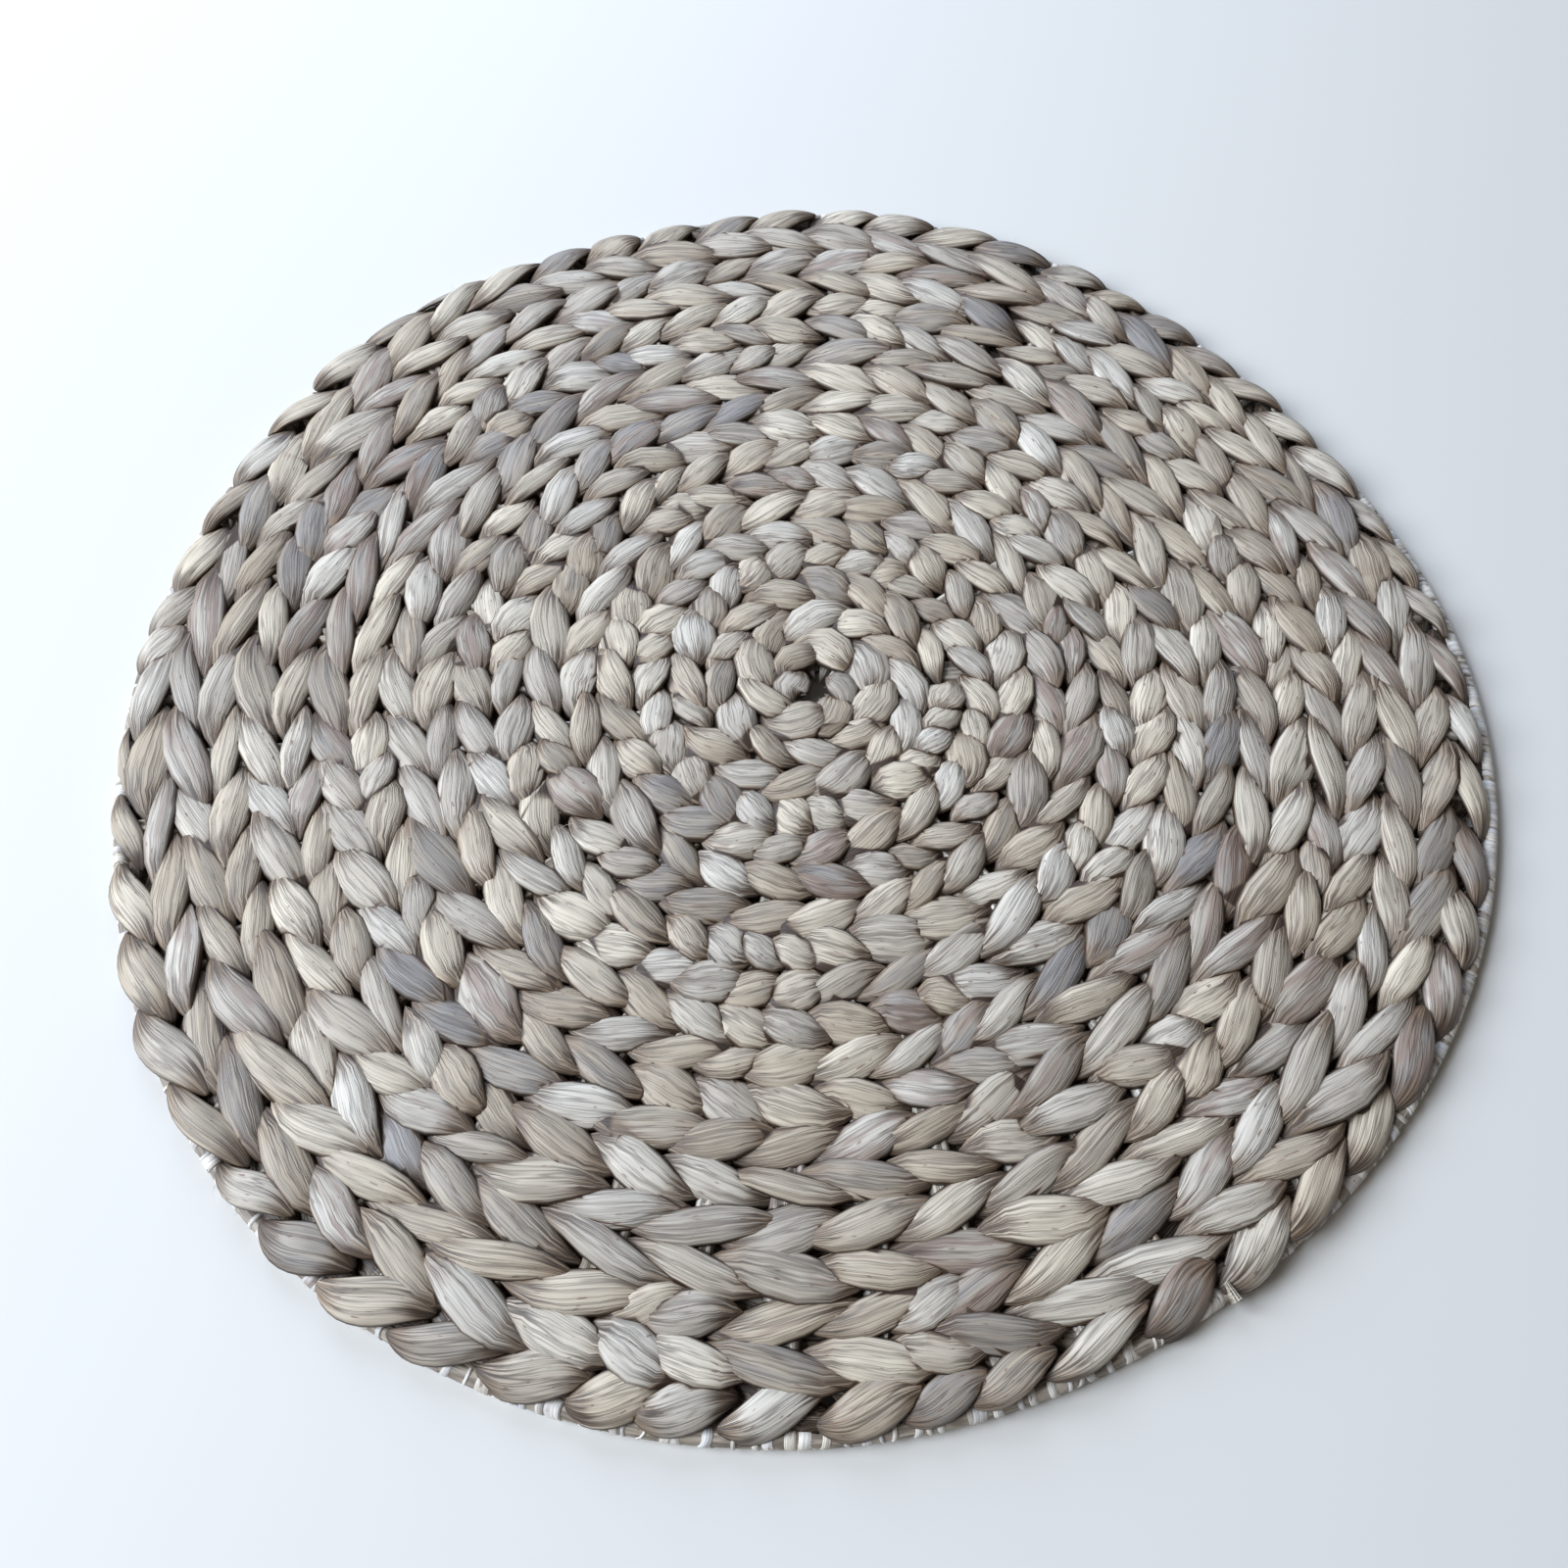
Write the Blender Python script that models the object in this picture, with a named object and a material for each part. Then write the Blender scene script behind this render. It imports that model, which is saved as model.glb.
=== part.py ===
"""A round plaited place mat: two pairs of plant stems twined over radial spokes in a double spiral,
worked out to a hoop that is bound with thin strips.

Metres, +Z up. The origin is on the surface the mat lies on, under the middle of its outline. The mat
lies flat. Angles are in degrees, anticlockwise seen from above, from +X.
"""

import math

import bmesh
import bpy
import numpy as np

# Driving dimensions, in metres
MAT_RADIUS = 0.185
MAT_THICKNESS = 0.0092
HOOP_THICKNESS = 0.0046
GAP = 0.0003

# The weave: rows of twining, counted along a ray from the middle of the spiral to the edge
SPIRAL_CENTRE = (0.0074, -0.0006)
ROWS_AT_START = 20.25
ROWS_PER_TURN = 2
FIRST_END_ANGLE = 176.0
SECOND_END_STEP = 61
END_TAPER_STEPS = 4
COLUMNS = 72
SHOULDERS = (0.3, 0.7)
CENTRE_ROWS = 0.75

# Heights in the woven body
CREST_HEIGHT = MAT_THICKNESS
VALLEY_HEIGHT = 0.0064
DIMPLE_HEIGHT = 0.0050
LIP_HEIGHT = 0.0058

# The hoop's octagonal section and the low ridges of the strips wound round it
HOOP_SIDES = 8
HOOP_STEPS = 96
WRAP_RELIEF = 0.0002

# How far the hand-bent outline lies outside MAT_RADIUS
OUTLINE_COLUMNS = ("angle_deg", "offset_mm")
OUTLINE = (
    (0, 1.0),
    (32, -5.6),
    (78, 2.0),
    (106, -1.8),
    (126, 1.6),
    (166, -3.2),
    (194, -3.2),
    (230, 1.6),
    (270, 0.2),
    (300, -1.6),
    (338, 1.8),
)

# How much of the hoop shows outside the last row
SETBACK_COLUMNS = ("angle_deg", "setback_mm")
SETBACK = (
    (0, 2.8),
    (50, 1.6),
    (110, 2.0),
    (135, 1.0),
    (170, 2.2),
    (215, 1.0),
    (262, 2.4),
    (300, 1.0),
    (335, 2.8),
)


def round_curve(table, angles):
    """Smooth closed curve through a table's rows, in metres, read at each angle.

    Each row's slope is the slope between its two neighbours, and a cubic joins each pair of rows.
    """
    rows = np.array(table, float)
    stops, values = rows[:, 0], rows[:, 1] * 0.001
    stops = np.concatenate([stops[-1:] - 360.0, stops, stops[:2] + 360.0])
    values = np.concatenate([values[-1:], values, values[:2]])
    slopes = (values[2:] - values[:-2]) / (stops[2:] - stops[:-2])
    stops, values = stops[1:-1], values[1:-1]
    angles = np.mod(np.asarray(angles, float) - stops[0], 360.0) + stops[0]
    row = np.clip(np.searchsorted(stops, angles, side="right") - 1, 0, len(stops) - 2)
    span = stops[row + 1] - stops[row]
    t = (angles - stops[row]) / span
    return (
        (2 * t**3 - 3 * t**2 + 1) * values[row]
        + (t**3 - 2 * t**2 + t) * span * slopes[row]
        + (3 * t**2 - 2 * t**3) * values[row + 1]
        + (t**3 - t**2) * span * slopes[row + 1]
    )


def rim_point(angles, inward, centre):
    """Points on the outline, moved inward, seen from the middle of the outline."""
    radius = MAT_RADIUS + round_curve(OUTLINE, angles) - inward
    turn = np.radians(angles)
    return np.stack([radius * np.cos(turn), radius * np.sin(turn)], -1) - centre


def outline_middle():
    """Middle of the outline's box, which becomes the origin."""
    points = rim_point(np.arange(HOOP_STEPS) * 360.0 / HOOP_STEPS, 0.0, np.zeros(2))
    return (points.max(0) + points.min(0)) / 2.0


def reach(angles, inward, with_setback):
    """Distance from the spiral's centre to the outline moved inward, along rays at these angles.

    The ray meets the outline where its own distance from the outline's middle equals the outline's
    radius there; the distance is corrected by that difference until it settles.
    """
    turn = np.radians(angles)
    ray = np.stack([np.cos(turn), np.sin(turn)], -1)
    distance = np.full(len(angles), MAT_RADIUS)
    for _ in range(30):
        points = np.array(SPIRAL_CENTRE) + distance[:, None] * ray
        bearing = np.degrees(np.arctan2(points[:, 1], points[:, 0]))
        wanted = MAT_RADIUS + round_curve(OUTLINE, bearing) - inward
        if with_setback:
            wanted = wanted - round_curve(SETBACK, bearing)
        distance += wanted - np.hypot(points[:, 0], points[:, 1])
    return distance


def new_object(name, mesh, material):
    """Links a mesh as a named object with its material, shaded smooth up to a crease angle."""
    mesh.materials.append(material)
    mesh.shade_smooth()
    mesh.set_sharp_from_angle(angle=math.radians(50.0))
    thing = bpy.data.objects.new(name, mesh)
    bpy.context.scene.collection.objects.link(thing)
    return thing


def plain_material(name, colour, roughness):
    """A Principled material of one colour."""
    material = bpy.data.materials.new(name)
    material.use_nodes = True
    shader = material.node_tree.nodes["Principled BSDF"]
    shader.inputs["Base Color"].default_value = (*colour, 1.0)
    shader.inputs["Roughness"].default_value = roughness
    shader.inputs["Metallic"].default_value = 0.0
    return material


def mesh_from(name, points, faces):
    """A mesh from points and faces, with all faces turned outwards."""
    mesh = bpy.data.meshes.new(name)
    mesh.from_pydata([tuple(point) for point in points], [], faces)
    shape = bmesh.new()
    shape.from_mesh(mesh)
    bmesh.ops.recalc_face_normals(shape, faces=shape.faces)
    shape.to_mesh(mesh)
    shape.free()
    return mesh


def row_lines(column):
    """The spiral lines that cross one column of the weave, from the middle outwards.

    Each is (line number, rows from the middle, height). Row m lies between lines 3m and 3m + 3: its
    valley and its two shoulders. All lines move inward by ROWS_PER_TURN rows in one anticlockwise
    turn. The last row starts with no width at its end and widens over END_TAPER_STEPS columns.
    """
    first_row = int(ROWS_AT_START) - 1
    shift = ROWS_PER_TURN * column / COLUMNS
    fraction = ROWS_AT_START - int(ROWS_AT_START) - shift
    if column < SECOND_END_STEP:
        last_row, since_end = first_row, column
    else:
        last_row, since_end = first_row + 1, column - SECOND_END_STEP
    width = min(1.0, since_end / END_TAPER_STEPS)
    lines = []
    for row in range(last_row + 1):
        share = width if row == last_row else 1.0
        start = row + fraction
        lines.append((3 * row, start, VALLEY_HEIGHT))
        for place, shoulder in enumerate(SHOULDERS):
            lines.append((3 * row + place + 1, start + shoulder * share, CREST_HEIGHT))
    edge = last_row + fraction + width
    inside = [line for line in lines if CENTRE_ROWS < line[1] < edge - 0.01]
    return inside, edge


def woven_body(centre):
    """The interlaced stems as one solid: spiral rows raised on top, flat below, stepped at the hoop.

    Columns are rays from the spiral's middle. Along a ray, a line lies at the edge's distance times
    its rows from the middle over the rows at the edge, so the rows share out the uneven outline.
    """
    angles = FIRST_END_ANGLE + np.arange(COLUMNS) * 360.0 / COLUMNS
    edge_reach = reach(angles, 0.0, True)
    seat_reach = reach(angles, HOOP_THICKNESS + GAP, False)
    turn = np.radians(angles)
    rays = np.stack([np.cos(turn), np.sin(turn)], -1)
    origin = np.array(SPIRAL_CENTRE) - centre

    points = []
    at = {}

    def put(key, column, distance, height):
        at[key] = len(points)
        place = origin + distance * rays[column]
        points.append((place[0], place[1], height))

    columns = []
    for column in range(COLUMNS):
        lines, edge = row_lines(column)
        columns.append({line[0] for line in lines})
        for number, rows, height in lines:
            put((column, number), column, edge_reach[column] * rows / edge, height)
        put((column, "lip"), column, edge_reach[column], LIP_HEIGHT)
        put((column, "ledge"), column, edge_reach[column], HOOP_THICKNESS + GAP)
        put((column, "seat"), column, seat_reach[column], HOOP_THICKNESS + GAP)
        put((column, "foot"), column, seat_reach[column], 0.0)
    middle = len(points)
    points.append((origin[0], origin[1], DIMPLE_HEIGHT))

    def corner(column, number):
        """Index of a line's point on a column, or of the middle or the lip where the line has ended."""
        if column == COLUMNS:
            column, number = 0, number - 3 * ROWS_PER_TURN
        if number in columns[column]:
            return at[(column, number)]
        if not columns[column] or number < min(columns[column]):
            return middle
        return at[(column, "lip")]

    faces = []
    for column in range(COLUMNS):
        following = (column + 1) % COLUMNS
        last_line = max(max(columns[column]), max(columns[following]) + 3 * ROWS_PER_TURN)
        for number in range(-1, last_line + 1):
            ring = [
                corner(column, number),
                corner(column, number + 1),
                corner(column + 1, number + 1),
                corner(column + 1, number),
            ]
            face = [p for place, p in enumerate(ring) if p != ring[place - 1]]
            if len(set(face)) == len(face) > 2:
                faces.append(face)
        for upper, lower in (("lip", "ledge"), ("ledge", "seat"), ("seat", "foot")):
            faces.append(
                [
                    at[(column, upper)],
                    at[(column, lower)],
                    at[(following, lower)],
                    at[(following, upper)],
                ]
            )
    faces.append([at[(column, "foot")] for column in range(COLUMNS)])
    mesh = mesh_from("woven_body", points, faces)
    return new_object("woven_body", mesh, plain_material("twined_stems", (0.33, 0.29, 0.24), 0.6))


def rim_hoop(centre):
    """The hoop under the last row: a bent rod, bound with strips that stand up as low ridges.

    An octagon with a flat side down is carried round the outline, and every other step is pulled in
    by WRAP_RELIEF, which leaves the ridges of the binding. The bottom side stays flat.
    """
    half = HOOP_THICKNESS / 2.0
    corner_radius = half / math.cos(math.pi / HOOP_SIDES)
    side = (np.arange(HOOP_SIDES) + 0.5) * 2.0 * math.pi / HOOP_SIDES
    above_base = np.sin(side) > -0.9
    angles = np.arange(HOOP_STEPS) * 360.0 / HOOP_STEPS
    turn = np.radians(angles)
    middles = rim_point(angles, half, centre)
    points = []
    for step in range(HOOP_STEPS):
        radius = corner_radius - WRAP_RELIEF * (step % 2) * above_base
        outward = radius * np.cos(side)
        points.extend(
            np.stack(
                [
                    middles[step, 0] + outward * math.cos(turn[step]),
                    middles[step, 1] + outward * math.sin(turn[step]),
                    half + radius * np.sin(side),
                ],
                -1,
            )
        )
    faces = []
    for step in range(HOOP_STEPS):
        after = (step + 1) % HOOP_STEPS
        for place in range(HOOP_SIDES):
            beside = (place + 1) % HOOP_SIDES
            faces.append(
                [
                    step * HOOP_SIDES + place,
                    step * HOOP_SIDES + beside,
                    after * HOOP_SIDES + beside,
                    after * HOOP_SIDES + place,
                ]
            )
    mesh = mesh_from("rim_hoop", points, faces)
    return new_object("rim_hoop", mesh, plain_material("hoop_binding", (0.45, 0.38, 0.28), 0.7))


def main():
    for thing in list(bpy.data.objects):
        bpy.data.objects.remove(thing, do_unlink=True)
    centre = outline_middle()
    woven_body(centre)
    rim_hoop(centre)


main()
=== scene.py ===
# %% [markdown]
# # A round mat twined from plant stems
# The mat is made of dried, flattened stems. Spokes run out from the middle. Two pairs of
# softer stems are twined over and under the spokes, one pair twisted to the left and one to the
# right, and the two pairs chase each other outwards in a double spiral. At the rim the work is tied
# down to a bent hoop that is bound with thin strips.
#
# The frame brings the mat's solids. The finer pieces below are laid over them and stand for them.

import math

import bpy
import numpy as np
from mathutils import Matrix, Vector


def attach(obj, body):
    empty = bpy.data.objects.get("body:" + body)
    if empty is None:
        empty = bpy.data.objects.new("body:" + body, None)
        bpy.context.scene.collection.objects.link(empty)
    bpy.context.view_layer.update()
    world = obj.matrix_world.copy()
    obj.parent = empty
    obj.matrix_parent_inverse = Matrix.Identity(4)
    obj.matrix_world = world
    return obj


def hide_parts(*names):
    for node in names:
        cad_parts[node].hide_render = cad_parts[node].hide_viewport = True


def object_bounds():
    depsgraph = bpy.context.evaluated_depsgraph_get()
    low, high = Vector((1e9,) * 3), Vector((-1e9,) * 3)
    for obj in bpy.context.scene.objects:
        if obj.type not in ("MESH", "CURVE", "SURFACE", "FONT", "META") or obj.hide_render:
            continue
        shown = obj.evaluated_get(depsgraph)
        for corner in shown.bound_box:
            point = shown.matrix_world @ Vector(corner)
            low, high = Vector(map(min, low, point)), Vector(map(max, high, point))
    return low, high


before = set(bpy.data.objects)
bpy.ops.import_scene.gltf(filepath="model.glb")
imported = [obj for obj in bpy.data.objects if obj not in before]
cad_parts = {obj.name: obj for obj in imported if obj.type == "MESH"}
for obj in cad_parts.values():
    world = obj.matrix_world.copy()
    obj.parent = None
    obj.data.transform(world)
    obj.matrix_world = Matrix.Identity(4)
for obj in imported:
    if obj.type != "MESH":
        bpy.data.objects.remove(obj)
cad_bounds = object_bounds()
print("frame:", sorted(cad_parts), [round(v, 4) for corner in cad_bounds for v in corner])

# %% [markdown]
# ## Where the rows run
# Everything on this mat is placed along its rows, so the first thing to settle is a map from the
# maker's own measures to metres. The maker counts rows from the middle and turns round the mat. Row
# lines are spirals: they move in by two rows in one turn, because two pairs of stems share the work.
# The outline is uneven, and the rows share that unevenness out, as they do when a weaver packs them.
# The outline is read from the frame, so that it can't drift from the solid it belongs to.

# %% Read the middle and the edges from the woven body
DIMPLE_HEIGHT = 0.0050
LIP_HEIGHT = 0.0058
HOOP_THICKNESS = 0.0046
SEAT_DEPTH = 0.0049
HEIGHT_SLACK = 0.00005


def node_points(name):
    """All points of a frame node as rows of x, y, z."""
    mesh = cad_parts[name].data
    points = np.zeros(len(mesh.vertices) * 3)
    mesh.vertices.foreach_get("co", points)
    return points.reshape(-1, 3)


body_points = node_points("woven_body")
near_dimple = np.abs(body_points[:, 2] - DIMPLE_HEIGHT) < HEIGHT_SLACK
dimple = body_points[near_dimple]
middle = dimple[np.argmin(np.hypot(dimple[:, 0], dimple[:, 1])), :2]


def edge_profile(height):
    """Bearing and distance from the middle of the body's corner points at one height, sorted by bearing."""
    ring = body_points[np.abs(body_points[:, 2] - height) < HEIGHT_SLACK, :2] - middle
    bearing = np.round(np.mod(np.arctan2(ring[:, 1], ring[:, 0]), 2 * np.pi), 5)
    bearing, first = np.unique(bearing, return_index=True)
    return bearing, np.hypot(ring[first, 0], ring[first, 1])


lip_profile = edge_profile(LIP_HEIGHT)
seat_profile = edge_profile(0.0)
MAT_RADIUS = float((cad_bounds[1][0] - cad_bounds[0][0] + cad_bounds[1][1] - cad_bounds[0][1]) / 4)
print("middle", middle.round(5), "lip points", len(lip_profile[0]), "seat points", len(seat_profile[0]))

# %% [markdown]
# ## From rows and turns to places
# Both pairs of stems end at the rim, and each tapers off there over a short stretch. Anywhere
# else a place lies out by the edge's own distance times a share: the rows counted to the place
# over the rows counted to the edge.

# %% Turn rows and turns into places
ROWS_AT_START = 20.25
ROWS_PER_TURN = 2
FIRST_END = math.radians(176.0)
SECOND_END_TURN = math.radians(305.0)
END_TAPER_TURN = math.radians(20.0)
LEAST_ROWS = 0.10


def last_row(turn):
    """Where the outermost row starts, in rows from the middle, and the share of its width it has reached."""
    turn = np.mod(turn, 2 * np.pi)
    second = turn >= SECOND_END_TURN
    start = ROWS_AT_START - 1 + second - ROWS_PER_TURN * turn / (2 * np.pi)
    share = np.clip(np.where(second, turn - SECOND_END_TURN, turn) / END_TAPER_TURN, 0, 1)
    return start, share


def distance_out(turn, rows, profile):
    """Distance from the middle: the edge's distance times rows counted over rows at the edge.

    The outermost row is squeezed by its share, so that each pair of stems tapers off at its end.
    """
    start, share = last_row(turn)
    squeezed = np.where(rows > start, start + share * (rows - start), rows)
    edge = np.interp(np.mod(turn + FIRST_END, 2 * np.pi), *profile, period=2 * np.pi)
    return edge * np.maximum(squeezed, LEAST_ROWS) / (start + share)


def place(turn, rows, height, profile):
    """Points in metres for turns from the first end, rows from the middle and heights."""
    distance = distance_out(turn, rows, profile)
    bearing = turn + FIRST_END
    x = middle[0] + distance * np.cos(bearing)
    y = middle[1] + distance * np.sin(bearing)
    return np.stack([x, y, np.broadcast_to(height, x.shape)], -1)


# %% [markdown]
# ## Spokes first
# A weaver starts with a few crossed stems and pushes in a new one wherever the gap between two
# spokes has grown too wide. The same rule is used here: walk outwards, and where the widest gap
# passes a limit, put a spoke in it. The neighbours make room little by little, which bends the
# spokes slightly. Outside the very middle every stitch sits on a spoke, so this one rule sets the
# size and the uneven rhythm of the stitches, and lines up the rows into chevrons.

# %% Walk outwards and add spokes
rng = np.random.default_rng(11)
FIRST_SPOKES = 7
FIRST_RADIUS = 0.010
GAP_AT_MIDDLE = 0.0096
GAP_AT_RIM = 0.0176
GAP_LIMIT = 1.27
FIRST_STRAY, FRESH_STRAY, SPOKE_STRAY = 0.06, 0.03, 0.004
WALK_STEP = 0.0005
MAKE_ROOM = 0.030


def add_spokes():
    """The distances walked, every spoke's turn at each of them, and each spoke's starting step.

    At each step a spoke moves by a share of (mean of its neighbours - itself), so gaps even out.
    """
    radii = np.arange(FIRST_RADIUS, MAT_RADIUS + 0.01, WALK_STEP)
    even = np.arange(FIRST_SPOKES) * 2 * np.pi / FIRST_SPOKES
    now = np.sort(even + rng.normal(0, FIRST_STRAY, FIRST_SPOKES))
    names = np.arange(FIRST_SPOKES)
    starts, history = [0] * FIRST_SPOKES, []
    for step, radius in enumerate(radii):
        wanted = GAP_AT_MIDDLE + (GAP_AT_RIM - GAP_AT_MIDDLE) * radius / MAT_RADIUS
        after = np.append(now[1:], now[0] + 2 * np.pi)
        before = np.append(now[-1] - 2 * np.pi, now[:-1])
        now = now + MAKE_ROOM * ((after + before) / 2 - now)
        gaps = np.append(now[1:], now[0] + 2 * np.pi) - now
        widest = int(np.argmax(gaps))
        if gaps[widest] * radius > GAP_LIMIT * wanted:
            fresh = now[widest] + (0.5 + rng.normal(0, FRESH_STRAY)) * gaps[widest]
            now = np.insert(now, widest + 1, fresh)
            names = np.insert(names, widest + 1, len(starts))
            starts.append(step)
        history.append((names.copy(), now.copy()))
    turns = np.tile(np.nan, (len(radii), len(starts)))
    for step, (who, where) in enumerate(history):
        turns[step, who] = where
    for spoke, step in enumerate(starts):
        turns[:step, spoke] = turns[step, spoke]
    return radii, turns, np.array(starts)


walk_radii, spoke_turns, spoke_steps = add_spokes()
spoke_turns = spoke_turns + rng.normal(0, SPOKE_STRAY, spoke_turns.shape[1])
spoke_starts = np.where(spoke_steps > 0, walk_radii[spoke_steps], 0.0)
SPOKES = len(spoke_starts)
print("spokes at the rim:", SPOKES)


def spoke_turn(spoke, radius):
    """Turn of a spoke at a distance from the middle, read between two steps of the walk."""
    place_in = np.clip((radius - FIRST_RADIUS) / WALK_STEP, 0, len(walk_radii) - 1.001)
    step = place_in.astype(int)
    share = place_in - step
    return spoke_turns[step, spoke] * (1 - share) + spoke_turns[step + 1, spoke] * share


# %% [markdown]
# ## A stitch on every crossing
# Where a pair of stems crosses a spoke, one stem passes over it and shows as a plump leaf shape, and
# the other passes under. Rows of pair A lean one way and rows of pair B lean the other. In the very
# middle the spokes are too crowded for this, so there the stitches follow their spiral in steps.

# %% List the stitches
TURNS_IN_SPIRAL = 12
FIRST_A_ROW, FIRST_B_ROW = 3.65, 3.75
INNERMOST_ROW = 0.75
STARTING_PITCH, MOST_BEND = 0.0125, 0.9
NARROWEST_SHARE = 0.3
LOOK_UPS = 6
PAIR_A_ROWS = ROWS_AT_START - 0.5
PAIR_B_ROWS = ROWS_AT_START + 0.5


def stitches_of(rows_at_start, first_turn, first_row, lean, profile):
    """Turn, row rule, radius, row width, stitch pitch and lean of each stitch of one pair of stems.

    A crossing solves turn = spoke's turn at the row's distance; a few repeated look-ups find it.
    """
    spoke = np.tile(np.arange(SPOKES), TURNS_IN_SPIRAL)
    whole = np.repeat(np.arange(TURNS_IN_SPIRAL) - 1, SPOKES) * 2 * np.pi
    turn = whole + np.mod(spoke_turns[-1, spoke], 2 * np.pi)
    for _ in range(LOOK_UPS):
        rows = rows_at_start - ROWS_PER_TURN * turn / (2 * np.pi)
        radius = distance_out(turn, rows, profile)
        turn = whole + spoke_turn(spoke, radius)
    rows = rows_at_start - ROWS_PER_TURN * turn / (2 * np.pi)
    radius = distance_out(turn, rows, profile)
    width = distance_out(turn, rows + 0.5, profile) - distance_out(turn, rows - 0.5, profile)
    start, share = last_row(turn)
    squeezed = np.where(rows > start, share, 1.0)
    keep = (turn >= first_turn) & (rows > first_row) & (radius > spoke_starts[spoke])
    keep &= squeezed > NARROWEST_SHARE
    order = np.argsort(turn[keep])
    turn, radius, width, rows, start = (v[keep][order] for v in (turn, radius, width, rows, start))
    step = np.diff(turn)
    step = np.concatenate([step[:1], (step[:-1] + step[1:]) / 2, step[-1:]])
    return {
        "turn": turn,
        "rows_at_start": np.full(len(turn), rows_at_start),
        "radius": radius,
        "width": width,
        "pitch": step * radius,
        "lean": np.full(len(turn), lean),
        "at_rim": (rows > start).astype(float),
    }


def starting_stitches(rows_at_start, first_row, lean, profile):
    """The stitches of one pair inside its first crossing, in the form that stitches_of gives.

    The spokes are crowded in the middle, so here the pair takes steps of one length along its
    spiral. Where the spiral is tight, a step is at most a set share of the distance from the middle.
    The first step is left out, because the pair's last crossing already covers it.
    """
    rows, found = first_row, []
    while rows > INNERMOST_ROW:
        turn = (rows_at_start - rows) * 2 * np.pi / ROWS_PER_TURN
        radius = distance_out(np.array([turn]), np.array([rows]), profile)[0]
        pitch = min(STARTING_PITCH, MOST_BEND * radius)
        found.append((turn, radius, pitch))
        rows -= ROWS_PER_TURN * pitch / (2 * np.pi * radius)
    turn, radius, pitch = np.array(found[1:]).T
    rows = rows_at_start - ROWS_PER_TURN * turn / (2 * np.pi)
    return {
        "turn": turn,
        "rows_at_start": np.full(len(turn), rows_at_start),
        "radius": radius,
        "width": distance_out(turn, rows + 0.5, profile) - distance_out(turn, rows - 0.5, profile),
        "pitch": pitch,
        "lean": np.full(len(turn), lean),
        "at_rim": np.zeros(len(turn)),
    }


def both_pairs(profile, side):
    """The stitches of the two pairs together, leaning the other way on the lower side."""
    first = stitches_of(PAIR_A_ROWS, 0.0, FIRST_A_ROW, -1.0 * side, profile)
    second = stitches_of(PAIR_B_ROWS, SECOND_END_TURN, FIRST_B_ROW, 1.0 * side, profile)
    first_start = starting_stitches(PAIR_A_ROWS, FIRST_A_ROW, -1.0 * side, profile)
    second_start = starting_stitches(PAIR_B_ROWS, FIRST_B_ROW, 1.0 * side, profile)
    parts = (first, second, first_start, second_start)
    return {key: np.concatenate([part[key] for part in parts]) for key in first}


upper = both_pairs(lip_profile, 1.0)
lower = both_pairs(seat_profile, -1.0)
print("stitches above:", len(upper["turn"]), "below:", len(lower["turn"]))
print("pitch mm:", (np.percentile(upper["pitch"], [2, 25, 50, 75, 98]) * 1000).round(1))

# %% [markdown]
# ## From grids to meshes
# Hundreds of stitches go into one mesh. Each has a point at each tip and rings between them, so one
# small list of faces serves them all: it is repeated with a shifted start for every stitch.

# %% Mesh helpers
def new_piece(name, points, quads, triangles, values, uv):
    """A smooth mesh object from arrays, with float attributes and a UV map given for each point."""
    mesh = bpy.data.meshes.new(name)
    corners = np.concatenate([quads.ravel(), triangles.ravel()]).astype(np.int32)
    sizes = np.concatenate([np.full(len(quads), 4), np.full(len(triangles), 3)])
    starts = np.concatenate([[0], np.cumsum(sizes)[:-1]]).astype(np.int32)
    mesh.vertices.add(len(points))
    mesh.vertices.foreach_set("co", points.astype(np.float32).ravel())
    mesh.loops.add(len(corners))
    mesh.loops.foreach_set("vertex_index", corners)
    mesh.polygons.add(len(sizes))
    mesh.polygons.foreach_set("loop_start", starts)
    mesh.update(calc_edges=True)
    mesh.shade_smooth()
    for key, data in values.items():
        layer = mesh.attributes.new(key, "FLOAT", "POINT")
        layer.data.foreach_set("value", data.astype(np.float32).ravel())
    layer = mesh.uv_layers.new(name="fibre")
    layer.data.foreach_set("uv", uv[corners].astype(np.float32).ravel())
    mesh.validate()
    piece = bpy.data.objects.new(name, mesh)
    bpy.context.scene.collection.objects.link(piece)
    print(f"{name}: {len(points)} points, {2 * len(quads) + len(triangles)} triangles")
    return piece


def spindle_faces(rings, around):
    """Faces of one closed spindle: point 0, then the rings, then the last point."""
    ring, spot = np.meshgrid(np.arange(rings - 1), np.arange(around), indexing="ij")
    beside = (spot + 1) % around
    low = 1 + ring * around
    quads = np.stack([low + spot, low + beside, low + around + beside, low + around + spot], -1)
    spot = np.arange(around)
    beside = (spot + 1) % around
    last = 1 + (rings - 1) * around
    first_fan = np.stack([0 * spot, beside + 1, spot + 1], -1)
    last_fan = np.stack([0 * spot + last + around, last + spot, last + beside], -1)
    return quads.reshape(-1, 4), np.concatenate([first_fan, last_fan])


def close_ends(grid):
    """Spindle by ring by section values as spindle by point, with each end ring made one point."""
    ends = grid[:, [0, -1]].mean(axis=2)
    inner = grid[:, 1:-1].reshape(len(grid), -1, *grid.shape[3:])
    return np.concatenate([ends[:, :1], inner, ends[:, 1:]], axis=1)


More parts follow.
